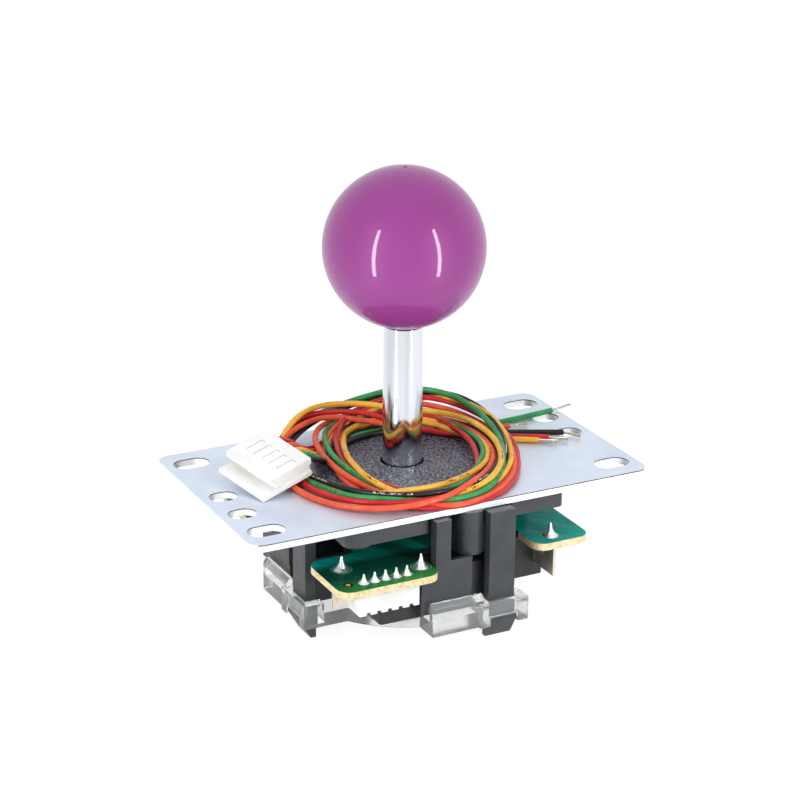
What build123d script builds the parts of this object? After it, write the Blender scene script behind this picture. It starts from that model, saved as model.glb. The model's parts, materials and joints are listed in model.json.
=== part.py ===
from build123d import *
import os
from math import cos, pi, radians, sqrt, tan

# Arcade joystick lever, in millimetres. The mounting plate's top face is z = 0, the lever stands along Z
# through the origin and the front is -Y. The body under the plate repeats at each quarter turn, so its
# features are written once, for the front side, and turned about Z.

# Fits
fit = 0.1
running_fit = 0.05
quarter_turns = 4
sides = {"front": 0, "right": 90, "back": 180, "left": 270}

# Mounting plate and its slots
plate_length = 95.0
plate_width = 53.0
plate_thickness = 1.6
plate_corner = 3.0
outer_slot_edge_x = 6.0
outer_slot_edge_y = 6.5
outer_slot_length = 8.2
outer_slot_width = 5.4
inner_slot_edge = 5.0
inner_slot_step_y = 10.0
inner_slot_length = 6.2
inner_slot_width = 5.0

# Screws that hold the plate on the housing
screw_spacing = 21.2
screw_radius = 1.4
screw_head_radius = 2.8
screw_length = 8.0
screw_boss_radius = 3.2

# Dust washer
washer_radius = 19.5
washer_thickness = 0.9
washer_gap = 0.45

# Lever: it tilts about the origin
tilt_limit = 10.0
ball_radius = 17.5
ball_seat_height = 32.5
ball_seat_radius = 4.6
ball_mark_radius = 0.6
ball_mark_depth = 0.25
shaft_radius = 4.35
shaft_end_radius = 3.0
shaft_thread_length = 11.5
shaft_tail = 1.2
shaft_slot_width = 1.0
shaft_slot_depth = 1.1
shaft_chamfer = 0.4
insert_radius = 4.2
insert_length = 12.5
insert_groove = 0.5
clip_radius = 4.4
clip_thickness = 0.6
clip_groove = 0.7
clip_mouth = 4.4

# Pivot bearing and the cup that it sits in
bearing_radius = 11.0
bearing_top = -4.0
bearing_height = 4.3
cup_clearance = 0.15
cup_bore = 7.9

# Actuator and return spring
actuator_radius = 5.2
actuator_top = -15.5
actuator_flange_radius = 6.4
actuator_flange = 1.2
spring_wire = 0.9
spring_top_radius = 9.3
spring_pitch = 1.35
spring_facets = 6

# Housing, in the order of its levels below the plate
deck_thickness = 3.4
deck_overhang = 0.2
deck_corner = 1.5
deck_notch_left = -7.1
deck_notch_right = 13.0
deck_notch_depth = 2.8
hub_radius = 14.0
hub_depth = 8.9
spring_recess = 0.5
corner_boss_radius = 3.4
corner_boss_rim = 0.4
corner_boss_drop = 0.6
leg_left = 5.95
leg_width = 6.2
leg_thickness = 2.5
leg_gap = 0.9
leg_top = -1.8
hook_reach = 1.3
hook_height = 5.4
hook_toe = 1.0
post_left = -6.5
post_width = 3.5
post_depth = 2.4
wall_left = -9.8
wall_right = 2.2
wall_top = -11.1
wall_bottom = -22.7
wall_thickness = 1.0
wall_gap = 1.6
wall_rebate = 0.2
wall_rebate_top = -18.0
round_boss_x = 3.3
round_boss_radius = 3.3
round_boss_out = 1.3
round_boss_bottom = -11.3

# Circuit board
board_drop = 10.4
board_thickness = 1.6
board_half = 18.6
board_bore = 11.0
tab_left = -28.3
tab_right = -6.7
tab_root = 18.2
header_tab_left = -29.9
header_tab_root = 14.2
tab_corner = 3.0
via_place = (-26.8, -28.0)
via_radius = 0.5

# Switches
switch_length = 27.8
switch_height = 15.9
switch_thickness = 10.3
switch_ahead = 9.6
switch_gap = 0.3
switch_cover = 3.2
switch_corner = 0.8
switch_hole_radius = 1.55
switch_hole_edge = 2.8
board_standoff = 0.2
plunger_width = 3.2
plunger_thickness = 2.2
plunger_reach = 0.75
plunger_length = 4.4
plunger_travel = 0.6
plunger_drop = 5.2

# Terminals and solder
blade_thickness = 0.6
blade_pin = 1.1
blade_pin_rise = 1.2
common_out = 8.6
common_width = 4.2
common_height = 3.6
common_places = {"front": 20.5, "right": 23.5, "back": 23.5, "left": 23.5}
open_width = 1.4
open_height = 2.4
open_place = -9.1
blade_drop = 3.4
solder_radius = 1.75
solder_height = 3.0
pin_solder_radius = 1.2
pin_solder_height = 2.0
solder_tip = 0.2
solder_shoulder = 0.58
solder_shoulder_height = 0.22
solder_neck = 0.3
solder_neck_height = 0.52

# Header on the board and the plug of the harness, both five ways
ways = 5
pitch = 2.5
header_x = -18.4
header_left = -27.0
header_right = -11.6
header_slant = 1.5
header_gap = 0.2
header_setback = 0.9
header_depth = 4.8
header_height = 4.9
header_wall = 0.8
header_floor = 1.6
header_notch_width = 1.0
header_notch_height = 0.6
header_pin = 0.64
header_pin_rise = 0.7
header_pin_reach = 4.2
plug_margin = 5.0
plug_length = 13.5
plug_height = 4.4
plug_flange = 1.0
plug_slab = 1.5
plug_slab_back = 2.4
plug_recess_back = 4.0
plug_edge = 0.6
plug_cavity = 1.5
plug_cavity_end = 9.0
plug_slit_width = 0.3
plug_slit_depth = 0.5
plug_slit_start = 3.6
plug_slit_length = 4.2
plug_slit_hook = 1.1
contact_size = 1.1
contact_length = 4.5
plug_corner_place = (-36.2, -6.7, 0.05)
plug_turn = 14.0
plug_rise = 12.0
plug_bank = 9.0

# Restrictor gate
gate_thickness = 3.2
gate_radius = 25.5
gate_gap = 0.27
gate_corner = 4.0
gate_wall = 1.6
gate_wall_left = -8.0
gate_wall_width = 12.4
gate_wall_height = 7.5
gate_wall_bevel = 0.8
ear_bar = 1.4
ear_cheek = 2.6
ear_height = 5.5
ear_window = 2.0
leg_slot_gap = 0.2
hook_gap = 0.1

# Harness: a loose coil of five wires round the shaft, and their free ends
wire_diameter = 1.3
strand_diameter = 0.6
coil_centre = (-1.4, -1.2)
coil_radius = 28.2
coil_hole_centre = (2.8, -3.0)
coil_hole_radii = (12.6, 15.5)
coil_washer_gap = 0.3
coil_lift = 0.1
coil_top = 5.9
coil_slope_x = -0.02
coil_slope_y = 0.1
plug_room = 1.0
lead_length = 2.0
tail_lift = 0.1
wire_colours = ["black", "green", "yellow", "orange", "red"]
tail_routes = {
    "black": [(23.5, 6.4), (31.5, 3.1), (40.4, -1.4)],
    "green": [(22.0, 10.6), (33.0, 10.2), (45.0, 11.7)],
    "yellow": [(23.0, 1.9), (28.0, 0.2), (33.0, -3.0)],
    "orange": [(22.5, 8.5), (27.4, 8.0), (31.3, 7.5)],
    "red": [(23.5, 3.8), (30.5, 0.9), (35.9, -2.6)],
}
strand_tips = {
    "black": (42.8, -4.9),
    "green": (51.3, 13.2),
    "yellow": (36.5, -5.4),
    "orange": (36.1, 7.3),
    "red": (39.4, -5.3),
}

# Levels and places that follow from the sizes above
plate_bottom = -plate_thickness
tail_height = wire_diameter / 2 + tail_lift
outer_slot_spacing_x = plate_length - 2 * outer_slot_edge_x
outer_slot_spacing_y = plate_width - 2 * outer_slot_edge_y
inner_slot_spacing_x = plate_length - 2 * inner_slot_edge
plate_bore = bearing_radius + 1.0
deck_bottom = plate_bottom - deck_thickness
hub_bottom = plate_bottom - hub_depth
spring_seat = hub_bottom + spring_recess
board_top = plate_bottom - board_drop
board_bottom = board_top - board_thickness
switch_top = board_bottom - board_standoff
switch_bottom = switch_top - switch_thickness
gate_top = switch_bottom - board_standoff
gate_bottom = gate_top - gate_thickness
hook_top = gate_bottom + ear_window - hook_gap
leg_bottom = hook_top - hook_height
gate_half = actuator_radius / cos(radians(tilt_limit)) - gate_bottom * tan(radians(tilt_limit)) + gate_gap
actuator_bottom = gate_bottom + clip_thickness + fit
clip_top = actuator_bottom - fit
shaft_bottom = clip_top - clip_thickness - shaft_tail
ball_centre = ball_seat_height + sqrt(ball_radius**2 - ball_seat_radius**2)
bearing_bottom = bearing_top - bearing_height
switch_face = switch_ahead + switch_gap
switch_back = switch_face + switch_height
switch_left = switch_ahead - switch_length
deck_reach = switch_back + deck_overhang
deck_notch_inner = deck_reach - deck_notch_depth
leg_reach = switch_back + leg_gap + leg_thickness
wall_reach = switch_back + wall_gap + wall_thickness
round_boss_reach = deck_notch_inner + round_boss_out
switch_middle = switch_left + switch_length / 2
cover_top = switch_bottom + switch_cover
plunger_level = switch_top - plunger_drop
header_back = switch_back + header_gap
header_y = -header_back - header_depth / 2
tab_reach = header_back + header_depth + header_setback
blade_hole = sqrt(blade_pin**2 + blade_thickness**2) / 2 + running_fit
pin_hole = header_pin / sqrt(2) + running_fit
plug_width = pitch * (ways - 1) + plug_margin
way_offsets = [pitch * (i - (ways - 1) / 2) for i in range(ways)]
plug_frame = (
    Location(plug_corner_place)
    * Location((0, 0, 0), (0, 0, plug_turn))
    * Location((0, 0, 0), (0, -plug_rise, 0))
    * Location((0, 0, 0), (plug_bank, 0, 0))
)
plug_plane = Plane(plug_frame)
plug_wire_level = plug_flange + (plug_height - plug_slab - plug_flange) / 2

os.makedirs("parts", exist_ok=True)


# Mounting plate: flat blank with slots, countersunk for the housing screws
with BuildPart() as mounting_plate:
    with BuildSketch(Plane.XY.offset(plate_bottom)):
        RectangleRounded(plate_length, plate_width, plate_corner)
        Circle(plate_bore, mode=Mode.SUBTRACT)
        with GridLocations(outer_slot_spacing_x, outer_slot_spacing_y, 2, 2):
            SlotOverall(outer_slot_length, outer_slot_width, mode=Mode.SUBTRACT)
        with PolarLocations(0, 2):
            with Locations(
                (-inner_slot_spacing_x / 2, 0),
                (-inner_slot_spacing_x / 2, -inner_slot_step_y),
            ):
                SlotOverall(inner_slot_length, inner_slot_width, mode=Mode.SUBTRACT)
    extrude(amount=plate_thickness)
    with GridLocations(screw_spacing, screw_spacing, 2, 2):
        CounterSinkHole(screw_radius + fit, screw_head_radius + fit, counter_sink_angle=90)
mounting_plate.part.label = "mounting_plate"
export_step(mounting_plate.part, "parts/mounting_plate.step")


# Plate screws: four countersunk screws, flush under the washer
screw_cone = screw_head_radius - screw_radius
with BuildPart() as screw:
    with BuildSketch(Plane.XZ):
        with BuildLine():
            Polyline(
                (0, -fit),
                (screw_head_radius, -fit),
                (screw_radius, -fit - screw_cone),
                (screw_radius, -screw_length),
                (0, -screw_length),
                close=True,
            )
        make_face()
    revolve(axis=Axis.Z)
with BuildPart() as plate_screws:
    with GridLocations(screw_spacing, screw_spacing, 2, 2):
        add(screw.part)
plate_screws.part.label = "plate_screws"
export_step(plate_screws.part, "parts/plate_screws.step")


# Dust washer
with BuildPart() as dust_washer:
    with BuildSketch():
        Circle(washer_radius)
        Circle(shaft_radius + washer_gap, mode=Mode.SUBTRACT)
    extrude(amount=washer_thickness)
dust_washer.part.label = "dust_washer"
export_step(dust_washer.part, "parts/dust_washer.step")


# Ball top: a ball with a flat seat, a socket for the insert and a small moulding mark
with BuildPart() as ball_top:
    with Locations((0, 0, ball_centre)):
        Sphere(ball_radius)
    split(bisect_by=Plane.XY.offset(ball_seat_height), keep=Keep.TOP)
    with Locations((0, 0, ball_seat_height)):
        Cylinder(
            insert_radius + running_fit,
            insert_length + fit,
            align=(Align.CENTER, Align.CENTER, Align.MIN),
            mode=Mode.SUBTRACT,
        )
    with Locations((0, 0, ball_centre + ball_radius)):
        Cylinder(ball_mark_radius, 2 * ball_mark_depth, mode=Mode.SUBTRACT)
ball_top.part.label = "ball_top"
export_step(ball_top.part, "parts/ball_top.step")


# Ball insert: grooved bush with the bore that screws on the shaft
with BuildPart() as ball_insert:
    with BuildSketch(Plane.XZ):
        with BuildLine():
            Polyline(
                (shaft_end_radius + running_fit, ball_seat_height),
                (insert_radius, ball_seat_height),
                (insert_radius, ball_seat_height + insert_length * 0.4),
                (insert_radius - insert_groove, ball_seat_height + insert_length * 0.45),
                (insert_radius - insert_groove, ball_seat_height + insert_length * 0.55),
                (insert_radius, ball_seat_height + insert_length * 0.6),
                (insert_radius, ball_seat_height + insert_length),
                (shaft_end_radius + running_fit, ball_seat_height + insert_length),
                close=True,
            )
        make_face()
    revolve(axis=Axis.Z)
ball_insert.part.label = "ball_insert"
export_step(ball_insert.part, "parts/ball_insert.step")


# Shaft: threaded top, chromed body, stepped lower end with a clip groove and a screwdriver slot
thread_top = ball_seat_height + shaft_thread_length
with BuildPart() as shaft:
    with BuildSketch(Plane.XZ):
        with BuildLine():
            Polyline(
                (0, thread_top),
                (shaft_end_radius - shaft_chamfer, thread_top),
                (shaft_end_radius, thread_top - shaft_chamfer),
                (shaft_end_radius, ball_seat_height - running_fit),
                (shaft_radius - shaft_chamfer, ball_seat_height - running_fit),
                (shaft_radius, ball_seat_height - running_fit - shaft_chamfer),
                (shaft_radius, bearing_top + running_fit),
                (shaft_end_radius, bearing_top + running_fit),
                (shaft_end_radius, clip_top + running_fit),
                (shaft_end_radius - clip_groove, clip_top + running_fit),
                (shaft_end_radius - clip_groove, clip_top - clip_thickness - running_fit),
                (shaft_end_radius, clip_top - clip_thickness - running_fit),
                (shaft_end_radius, shaft_bottom + shaft_chamfer),
                (shaft_end_radius - shaft_chamfer, shaft_bottom),
                (0, shaft_bottom),
                close=True,
            )
        make_face()
    revolve(axis=Axis.Z)
    with Locations((0, 0, shaft_bottom)):
        Box(
            2 * shaft_radius,
            shaft_slot_width,
            shaft_slot_depth,
            align=(Align.CENTER, Align.CENTER, Align.MIN),
            mode=Mode.SUBTRACT,
        )
shaft.part.label = "shaft"
export_step(shaft.part, "parts/shaft.step")


# Retaining clip in the shaft's groove, open at one side
with BuildPart() as retaining_clip:
    with BuildSketch(Plane.XY.offset(clip_top - clip_thickness)):
        Circle(clip_radius)
        Circle(shaft_end_radius - clip_groove + running_fit, mode=Mode.SUBTRACT)
        with Locations((clip_radius / 2, 0)):
            Rectangle(clip_radius, clip_mouth, mode=Mode.SUBTRACT)
    extrude(amount=clip_thickness)
retaining_clip.part.label = "retaining_clip"
export_step(retaining_clip.part, "parts/retaining_clip.step")


# Pivot bearing: a zone of a ball about the origin, with the shaft's bore
bearing_top_radius = sqrt(bearing_radius**2 - bearing_top**2)
bearing_bottom_radius = sqrt(bearing_radius**2 - bearing_bottom**2)
with BuildPart() as pivot_bearing:
    with BuildSketch(Plane.XZ):
        with BuildLine():
            bore_line = Polyline(
                (bearing_bottom_radius, bearing_bottom),
                (shaft_end_radius + running_fit, bearing_bottom),
                (shaft_end_radius + running_fit, bearing_top),
                (bearing_top_radius, bearing_top),
            )
            RadiusArc(bore_line @ 1, bore_line @ 0, bearing_radius)
        make_face()
    revolve(axis=Axis.Z)
pivot_bearing.part.label = "pivot_bearing"
export_step(pivot_bearing.part, "parts/pivot_bearing.step")


# Actuator: flanged sleeve that the spring presses on
with BuildPart() as actuator:
    with BuildSketch(Plane.XZ):
        with BuildLine():
            Polyline(
                (shaft_end_radius + running_fit, actuator_top),
                (actuator_flange_radius, actuator_top),
                (actuator_flange_radius, actuator_top - actuator_flange),
                (actuator_radius, actuator_top - actuator_flange),
                (actuator_radius, actuator_bottom),
                (shaft_end_radius + running_fit, actuator_bottom),
                close=True,
            )
        make_face()
    revolve(axis=Axis.Z)
actuator.part.label = "actuator"
export_step(actuator.part, "parts/actuator.step")


# Return spring: a cone of wire from the actuator's flange up to the housing's seat
spring_low = actuator_top + spring_wire / 2 + running_fit
spring_high = spring_seat - spring_wire / 2 - running_fit
spring_low_radius = actuator_flange_radius - spring_wire / 2 - fit
spring_rise = Vector(spring_high - spring_low, spring_top_radius - spring_low_radius)
with BuildPart() as return_spring:
    with BuildLine() as spring_line:
        Helix(
            spring_pitch,
            spring_high - spring_low,
            spring_low_radius,
            center=(0, 0, spring_low),
            cone_angle=spring_rise.get_angle(Vector(1, 0)),
        )
    with BuildSketch(Plane(origin=spring_line.line @ 0, z_dir=spring_line.line % 0)):
        RegularPolygon(spring_wire / 2, spring_facets)
    sweep(path=spring_line.line, is_frenet=True)
return_spring.part.label = "return_spring"
export_step(return_spring.part, "parts/return_spring.step")


# Housing: deck under the plate, hub with the bearing cup, and at each side a snap leg, a post with the
# wall behind the gate, and a round boss
corner_boss_place = corner_boss_rim + corner_boss_radius - deck_reach
with BuildPart() as snap_leg:
    with BuildSketch(Plane.YZ.offset(leg_left)):
        with BuildLine():
            Polyline(
                (-deck_notch_inner, leg_top),
                (-leg_reach, leg_top),
                (-leg_reach, hook_top),
                (-leg_reach - hook_reach, hook_top),
                (-leg_reach - hook_reach, hook_top - hook_toe),
                (-leg_reach + leg_thickness / 2, leg_bottom),
                (-leg_reach + leg_thickness, leg_bottom),
                (-leg_reach + leg_thickness, deck_bottom),
                (-deck_notch_inner, deck_bottom),
                close=True,
            )
        make_face()
    extrude(amount=leg_width)
with BuildPart() as housing:
    with BuildSketch(Plane.XY.offset(deck_bottom)):
        RectangleRounded(2 * deck_reach, 2 * deck_reach, deck_corner)
        with PolarLocations(0, quarter_turns):
            with Locations(((deck_notch_left + deck_notch_right) / 2, -deck_reach)):
                Rectangle(
                    deck_notch_right - deck_notch_left, 2 * deck_notch_depth, mode=Mode.SUBTRACT
                )
    extrude(amount=deck_thickness)
    with BuildSketch(Plane.XY.offset(hub_bottom)):
        Circle(hub_radius)
        with GridLocations(screw_spacing, screw_spacing, 2, 2):
            Circle(screw_boss_radius)
    extrude(amount=hub_depth)
    with PolarLocations(0, 2):
        with Locations((corner_boss_place, corner_boss_place, deck_bottom - corner_boss_drop)):
            Cylinder(
                corner_boss_radius,
                corner_boss_drop + deck_thickness / 2,
                align=(Align.CENTER, Align.CENTER, Align.MIN),
            )
    with PolarLocations(0, quarter_turns):
        with Locations((round_boss_x, -round_boss_reach, round_boss_bottom)):
            Cylinder(
                round_boss_radius,
                plate_bottom - round_boss_bottom,
                align=(Align.CENTER, Align.CENTER, Align.MIN),
            )
        with Locations((post_left, -wall_reach, leg_top)):
            Box(
                post_width,
                wall_reach - deck_notch_inner,
                leg_top - deck_bottom,
                align=(Align.MIN, Align.MIN, Align.MAX),
            )
            Box(
                post_width,
                post_depth,
                leg_top - board_bottom,
                align=(Align.MIN, Align.MIN, Align.MAX),
            )
        with Locations((wall_right, -wall_reach, wall_bottom)):
            Box(
                wall_right - post_left,
                wall_thickness,
                wall_top - wall_bottom,
                align=(Align.MAX, Align.MIN, Align.MIN),
            )
            Box(
                wall_right - wall_left,
                wall_thickness,
                board_bottom - board_standoff - wall_bottom,
                align=(Align.MAX, Align.MIN, Align.MIN),
            )
            Box(
                wall_right - wall_left,
                wall_rebate,
                wall_rebate_top - wall_bottom,
                align=(Align.MAX, Align.MIN, Align.MIN),
                mode=Mode.SUBTRACT,
            )
        add(snap_leg.part)
    Sphere(bearing_radius + cup_clearance, mode=Mode.SUBTRACT)
    with BuildSketch(Plane.XY.offset(hub_bottom)):
        Circle(cup_bore)
    extrude(amount=hub_depth, mode=Mode.SUBTRACT)
    with BuildSketch(Plane.XY.offset(hub_bottom)):
        Circle(spring_top_radius + spring_wire / 2 + fit)
    extrude(amount=spring_recess, mode=Mode.SUBTRACT)
    with Locations(Plane.XY.offset(plate_bottom)):
        with GridLocations(screw_spacing, screw_spacing, 2, 2):
            Hole(screw_radius + running_fit, screw_length - plate_thickness + fit)
housing.part.label = "housing"
export_step(housing.part, "parts/housing.step")


# Restrictor gate: clear base with a square hole, four low walls and four ears that the hooks catch under
slot_left = leg_left - leg_slot_gap
slot_right = leg_left + leg_width + leg_slot_gap
slot_outer = leg_reach + leg_slot_gap
slot_inner = leg_reach - leg_thickness - hook_reach - leg_slot_gap
ear_width = slot_right - slot_left + 2 * ear_cheek
ear_reach = slot_outer + ear_bar
ear_inner = switch_back + leg_slot_gap
gate_wall_inner = wall_reach + fit
gate_wall_outer = gate_wall_inner + gate_wall
gate_wall_top = gate_bottom + gate_wall_height
with BuildPart() as gate_front_wall:
    with BuildSketch(Plane.YZ.offset(gate_wall_left)):
        with BuildLine():
            Polyline(
                (-gate_wall_inner, gate_bottom),
                (-gate_wall_outer, gate_bottom),
                (-gate_wall_outer, gate_wall_top - gate_wall_bevel),
                (-gate_wall_outer + gate_wall_bevel, gate_wall_top),
                (-gate_wall_inner, gate_wall_top),
                close=True,
            )
        make_face()
    extrude(amount=gate_wall_width)
with BuildPart() as restrictor_gate:
    with BuildSketch(Plane.XY.offset(gate_bottom)):
        Circle(gate_radius)
        with PolarLocations(0, quarter_turns):
            with Locations((gate_wall_left, -gate_wall_outer)):
                Rectangle(gate_wall_width, gate_wall_inner, align=(Align.MIN, Align.MIN))
            with Locations((slot_left - ear_cheek, -ear_reach)):
                Rectangle(ear_width, ear_reach / 2, align=(Align.MIN, Align.MIN))
        RectangleRounded(2 * gate_half, 2 * gate_half, gate_corner, mode=Mode.SUBTRACT)
    extrude(amount=gate_thickness)
    with PolarLocations(0, quarter_turns):
        add(gate_front_wall.part)
        with Locations((slot_left - ear_cheek, -ear_reach, gate_bottom)):
            Box(
                ear_width,
                ear_reach - ear_inner,
                ear_height,
                align=(Align.MIN, Align.MIN, Align.MIN),
            )
        with Locations((slot_left, -slot_outer, gate_bottom)):
            Box(
                slot_right - slot_left,
                slot_outer - slot_inner,
                ear_height,
                align=(Align.MIN, Align.MIN, Align.MIN),
                mode=Mode.SUBTRACT,
            )
        with Locations((slot_left, -ear_reach, gate_bottom)):
            Box(
                slot_right - slot_left,
                ear_reach - slot_inner,
                ear_window,
                align=(Align.MIN, Align.MIN, Align.MIN),
                mode=Mode.SUBTRACT,
            )
restrictor_gate.part.label = "restrictor_gate"
export_step(restrictor_gate.part, "parts/restrictor_gate.step")


# Circuit board: square with a tab at each side, the header's tab larger, drilled for the pins
open_pin_place = (open_place, -switch_back - open_width / 2)
common_pin_x = switch_left - common_out + common_width / 2
with BuildPart() as circuit_board:
    with BuildSketch(Plane.XY.offset(board_bottom)):
        Rectangle(2 * board_half, 2 * board_half)
        with PolarLocations(0, quarter_turns):
            with Locations(((tab_left + tab_right) / 2, -(tab_reach + tab_root) / 2)):
                RectangleRounded(tab_right - tab_left, tab_reach - tab_root, tab_corner)
        with Locations(((header_tab_left + tab_right) / 2, -(tab_reach + header_tab_root) / 2)):
            RectangleRounded(tab_right - header_tab_left, tab_reach - header_tab_root, tab_corner)
        Circle(board_bore, mode=Mode.SUBTRACT)
        for side, turn in sides.items():
            with Locations(Location((0, 0, 0), (0, 0, turn))):
                with Locations(open_pin_place, (common_pin_x, -common_places[side])):
                    Circle(blade_hole, mode=Mode.SUBTRACT)
        with Locations((header_x, header_y)):
            with GridLocations(pitch, 0, ways, 1):
                Circle(pin_hole, mode=Mode.SUBTRACT)
        with Locations(via_place):
            Circle(via_radius, mode=Mode.SUBTRACT)
    extrude(amount=board_thickness)
circuit_board.part.label = "circuit_board"
export_step(circuit_board.part, "parts/circuit_board.step")


# Header housing: open box, mouth down, with one slanted end, notched along its front edge
header_mouth = board_bottom - header_height
with BuildPart() as header_housing:
    with BuildSketch(Plane.XZ.offset(header_back)):
        with BuildLine():
            Polyline(
                (header_left, board_bottom),
                (header_right, board_bottom),
                (header_right, header_mouth),
                (header_left + header_slant, header_mouth),
                close=True,
            )
        make_face()
    extrude(amount=header_depth)
    with Locations(((header_left + header_slant + header_right) / 2, header_y, header_mouth)):
        Box(
            header_right - header_left - header_slant - 2 * header_wall,
            header_depth - 2 * header_wall,
            header_height - header_floor,
            align=(Align.CENTER, Align.CENTER, Align.MIN),
            mode=Mode.SUBTRACT,
        )
    with Locations((header_x, header_y - header_depth / 2, header_mouth)):
        with GridLocations(pitch, 0, ways, 1):
            Box(
                header_notch_width,
                2 * header_wall + fit,
                2 * header_notch_height,
                mode=Mode.SUBTRACT,
            )
    with Locations((header_x, header_y, board_bottom)):
        with GridLocations(pitch, 0, ways, 1):
            Box(
                header_pin + 2 * running_fit,
                header_pin + 2 * running_fit,
                header_height,
                mode=Mode.SUBTRACT,
            )
header_housing.part.label = "header_housing"
export_step(header_housing.part, "parts/header_housing.step")


# Header pins: square posts through the board
with BuildPart() as header_pins:
    with Locations((header_x, header_y, board_top + header_pin_rise)):
        with GridLocations(pitch, 0, ways, 1):
            Box(
                header_pin,
                header_pin,
                header_pin_rise + board_thickness + header_pin_reach,
                align=(Align.CENTER, Align.CENTER, Align.MAX),
            )
    chamfer(header_pins.faces().group_by(Axis.Z)[0].edges(), header_pin / 4)
header_pins.part.label = "header_pins"
export_step(header_pins.part, "parts/header_pins.step")


# Switches: case, cover, plunger and two terminals, made for the front side and turned to the others
with BuildPart() as front_case:
    with Locations((switch_middle, -switch_face - switch_height / 2, cover_top)):
        Box(
            switch_length,
            switch_height,
            switch_top - cover_top,
            align=(Align.CENTER, Align.CENTER, Align.MIN),
        )
    fillet(front_case.edges().filter_by(Axis.Z), switch_corner)
    with Locations((0, -switch_face, plunger_level)):
        Box(
            plunger_width + 2 * fit,
            plunger_length + 2 * plunger_travel,
            plunger_thickness + 2 * fit,
            align=(Align.CENTER, Align.MAX, Align.CENTER),
            mode=Mode.SUBTRACT,
        )
    with Locations(
        (switch_left + switch_hole_edge, -switch_back + switch_hole_edge, switch_top),
        (switch_ahead - switch_hole_edge, -switch_face - switch_hole_edge, switch_top),
    ):
        Hole(switch_hole_radius, switch_thickness)
with BuildPart() as front_cover:
    with Locations((switch_middle, -switch_face - switch_height / 2, switch_bottom)):
        Box(
            switch_length,
            switch_height,
            switch_cover,
            align=(Align.CENTER, Align.CENTER, Align.MIN),
        )
    fillet(front_cover.edges().filter_by(Axis.Z), switch_corner)
    with Locations(
        (switch_left + switch_hole_edge, -switch_back + switch_hole_edge, cover_top),
        (switch_ahead - switch_hole_edge, -switch_face - switch_hole_edge, cover_top),
    ):
        Hole(switch_hole_radius, switch_cover)
with BuildPart() as front_plunger:
    with Locations((0, -switch_face + plunger_reach, plunger_level)):
        Box(
            plunger_width,
            plunger_reach + plunger_length,
            plunger_thickness,
            align=(Align.CENTER, Align.MAX, Align.CENTER),
        )
    fillet(front_plunger.faces().sort_by(Axis.Y)[-1].edges(), plunger_reach / 2)
blade_level = switch_top - blade_drop
common_end = switch_left - common_out
open_end = -switch_back - open_width
with BuildPart() as common_blade:
    with BuildSketch(Plane.XZ.offset(-blade_thickness / 2)):
        with BuildLine():
            Polyline(
                (switch_left, blade_level),
                (switch_left, blade_level - common_height),
                (common_end, blade_level - common_height),
                (common_end, board_bottom - running_fit),
                (common_end + (common_width - blade_pin) / 2, board_bottom - running_fit),
                (common_end + (common_width - blade_pin) / 2, board_top + blade_pin_rise),
                (common_end + (common_width + blade_pin) / 2, board_top + blade_pin_rise),
                (common_end + (common_width + blade_pin) / 2, board_bottom - running_fit),
                (common_end + common_width, board_bottom - running_fit),
                (common_end + common_width, blade_level),
                close=True,
            )
        make_face()
    extrude(amount=blade_thickness)
with BuildPart() as open_blade:
    with BuildSketch(Plane.YZ.offset(open_place - blade_thickness / 2)):
        with BuildLine():
            Polyline(
                (-switch_back, blade_level - open_height),
                (open_end, blade_level - open_height),
                (open_end, board_bottom - running_fit),
                (open_end + (open_width - blade_pin) / 2, board_bottom - running_fit),
                (open_end + (open_width - blade_pin) / 2, board_top + blade_pin_rise),
                (open_end + (open_width + blade_pin) / 2, board_top + blade_pin_rise),
                (open_end + (open_width + blade_pin) / 2, board_bottom - running_fit),
                (-switch_back, board_bottom - running_fit),
                close=True,
            )
        make_face()
    extrude(amount=blade_thickness)
front_pieces = {
    "switch_case": front_case,
    "switch_cover": front_cover,
    "switch_plunger": front_plunger,
}
for side, turn in sides.items():
    for piece, front in front_pieces.items():
        with BuildPart() as turned:
            with Locations(Location((0, 0, 0), (0, 0, turn))):
                add(front.part)
        turned.part.label = f"{piece}_{side}"
        export_step(turned.part, f"parts/{piece}_{side}.step")
    with BuildPart() as terminals:
        with Locations(Location((0, 0, 0), (0, 0, turn))):
            add(open_blade.part)
            with Locations((0, -common_places[side], 0)):
                add(common_blade.part)
    terminals.part.label = f"switch_terminals_{side}"
    export_step(terminals.part, f"parts/switch_terminals_{side}.step")


# Solder joints: hollow-sided cones that close over the ends of the pins
def solder_profile(radius, height, pin_radius, pin_rise):
    return [
        (0, height),
        (0, pin_rise + running_fit),
        (pin_radius, pin_rise + running_fit),
        (pin_radius, 0),
        (radius, 0),
        (radius * solder_shoulder, height * solder_shoulder_height),
        (radius * solder_neck, height * solder_neck_height),
        (solder_tip, height),
    ]


with BuildPart() as large_joint:
    with BuildSketch(Plane.XZ):
        with BuildLine():
            Polyline(*solder_profile(solder_radius, solder_height, blade_hole, blade_pin_rise), close=True)
        make_face()
    revolve(axis=Axis.Z)
with BuildPart() as small_joint:
    with BuildSketch(Plane.XZ):
        with BuildLine():
            Polyline(
                *solder_profile(pin_solder_radius, pin_solder_height, pin_hole, header_pin_rise), close=True
            )
        make_face()
    revolve(axis=Axis.Z)
with BuildPart() as solder_joints:
    for side, turn in sides.items():
        with Locations(Location((0, 0, 0), (0, 0, turn))):
            with Locations((*open_pin_place, board_top), (common_pin_x, -common_places[side], board_top)):
                add(large_joint.part)
    with Locations((header_x, header_y, board_top)):
        with GridLocations(pitch, 0, ways, 1):
            add(small_joint.part)
solder_joints.part.label = "solder_joints"
export_step(solder_joints.part, "parts/solder_joints.step")


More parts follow.
